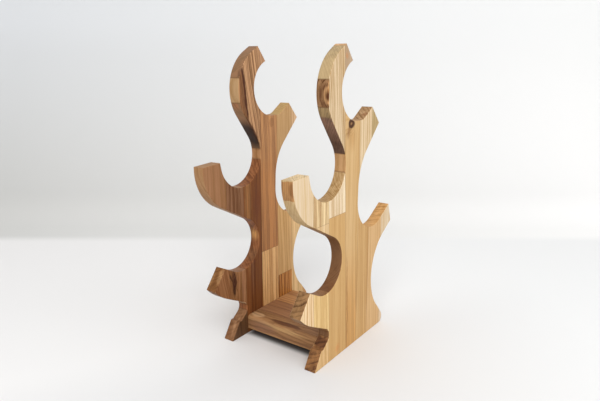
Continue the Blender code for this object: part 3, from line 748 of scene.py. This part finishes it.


# Matt paper scatters light evenly and shows no gloss. Its tones are painted light and shade
# for a pale, unevenly lit room: painted shade on the floor towards the right and a painted
# shadow before the rack, a soft edge where it turns up, painted shade on the wall's left and
# low down, a painted bright foot above that edge, and the painted deep shade under the shelf.
floor = sweep("floor", width=24.0, front=-12.0, back=0.6, height=3.0, radius=0.5)
paper = bpy.data.materials.new("matt_white_paper")
paper.use_nodes = True
tree = paper.node_tree
spot = add(tree, "TexCoord", {}, {}, "Object")
across = add(tree, "VectorMath", dot,
             {0: spot, 1: (math.cos(view_turn), math.sin(view_turn), 0.0)}, "Value")
away = add(tree, "VectorMath", dot,
           {0: spot, 1: (-math.sin(view_turn), math.cos(view_turn), 0.0)}, "Value")
slanting = add(tree, "VectorMath", dot,
               {0: spot, 1: (-0.988, 0.523, 0.0)}, "Value")
up = add(tree, "SeparateXYZ", {}, {0: spot}, "Z")

# How much of a tone shows: each share runs over a stretch in metres, some of them softly
shares = {}
for part, measure, options, start, end, first, last in (
        # The first two shares spread painted shade: across the floor, darker to the right, and
        # across the wall, darker to the left
        ("floor_shade_across", across, {}, -0.75, 0.7, 0.0, 1.0),
        ("wall_light_across", across, {}, -1.0, 0.95, 0.0, 1.0),
        # The next two shares place the painted shadow on the floor before the rack
        ("front_shadow_across", across, {}, 0.12, 0.5, 0.0, 1.0),
        ("before", slanting, smooth, -0.12, 0.08, 1.0, 0.0),
        ("high", up, {}, 0.0, 0.6, 0.0, 1.0),
        # A painted bright band at the foot of the wall, up to 6 cm high
        ("foot", up, smooth, 0.0, 0.06, 1.0, 0.0),
        ("beyond", away, smooth, 0.49, 0.55, 0.0, 1.0)):
    shares[part] = add(tree, "MapRange", options,
                       {0: measure, 1: start, 2: end, 3: first, 4: last})

# The shade reaches half the shelf's length and depth from its middle and fades at the end
shelf_middle, shelf_reach = (0.0, 0.0117, 0.0), (0.08, 0.0737, 1.0)
shaded = add(tree, "Mapping", placed, {"Vector": spot, "Location": shelf_middle,
                                       "Scale": shelf_reach})
shaded = add(tree, "VectorMath", size_of, {0: shaded})
shade_along = add(tree, "SeparateXYZ", {}, {0: shaded}, "X")
shade_deep = add(tree, "SeparateXYZ", {}, {0: shaded}, "Y")
shaded = add(tree, "Math", {"operation": "MAXIMUM"}, {0: shade_along, 1: shade_deep})
shares["shaded"] = add(tree, "MapRange", smooth, {0: shaded, 1: 0.8, 2: 1.0, 3: 0.9, 4: 0.0})

# The tones: each goes from one to another over its share, up to that of the whole sheet
papers = {}
for part, share, one, other in (
        # Painted shade on the floor, a little darker towards the right
        ("near", "floor_shade_across", "#EDEBE9", "#E9E9E8"),
        # The front tone is the painted shadow before the rack, and the floor tone lays it over the
        # near one
        ("front", "front_shadow_across", "#DFDEDD", "#E9E9E8"),
        ("floor", "before", "near", "front"),
        ("shaded_floor", "shaded", "floor", "#3A2E26"),
        # Painted shade on the wall's left, darkest low down, and painted light on its right,
        # brightest low down
        ("shaded_left_wall", "high", "#C8C7C3", "#DBDDDF"),
        ("lit_right_wall", "high", "#EDECEA", "#E7E7E6"),
        ("wall", "wall_light_across", "shaded_left_wall", "lit_right_wall"),
        # Painted light at the wall's foot, brighter than the wall above it
        ("lit_wall_foot", "wall_light_across", "#D2D1CD", "#F6F5F3"),
        ("whole_wall", "foot", "wall", "lit_wall_foot"),
        ("sheet", "beyond", "shaded_floor", "whole_wall")):
    first, last = (papers[tone] if tone in papers else linear(tone) for tone in (one, other))
    papers[part] = add(tree, "Mix", of_colours, {0: shares[share], 6: first, 7: last}, 2)
matt = tree.nodes["Principled BSDF"]
tree.links.new(papers["sheet"], matt.inputs["Base Color"])
matt.inputs["Roughness"].default_value = 0.9
matt.inputs["Specular IOR Level"].default_value = 0.1
floor.data.materials.append(paper)


# Light: a large soft box high behind the camera, a weaker one on the right, a little to the
# rear, and pale light from all round. Places and sizes are in metres, power in watts.

def soft_box(name, place, size, power, target=(0.0, 0.0, 0.2)):
    """A square lamp at place, tilted and turned so that it shines at the rack's middle: by
    atan2(flat distance, drop) from straight down, and by the compass angle of the target."""
    lamp = bpy.data.objects.new(name, bpy.data.lights.new(name, "AREA"))
    way = np.array(target) - np.array(place)
    flat = math.hypot(way[0], way[1])
    lamp.location = place
    lamp.rotation_euler = (math.atan2(flat, -way[2]), 0.0, math.atan2(-way[0], way[1]))
    lamp.data.size = size
    lamp.data.energy = power
    bpy.context.scene.collection.objects.link(lamp)


soft_box("front_soft_box", place=(1.3, -1.75, 1.85), size=1.8, power=48.0)
soft_box("rear_soft_box", place=(2.2, 0.6, 1.4), size=1.8, power=12.0)
world = bpy.data.worlds.new("studio")
bpy.context.scene.world = world
world.use_nodes = True
world.node_tree.nodes["Background"].inputs["Color"].default_value = linear("#F4F5F7")
world.node_tree.nodes["Background"].inputs["Strength"].default_value = 0.78
bpy.context.scene.view_settings.view_transform = "Standard"
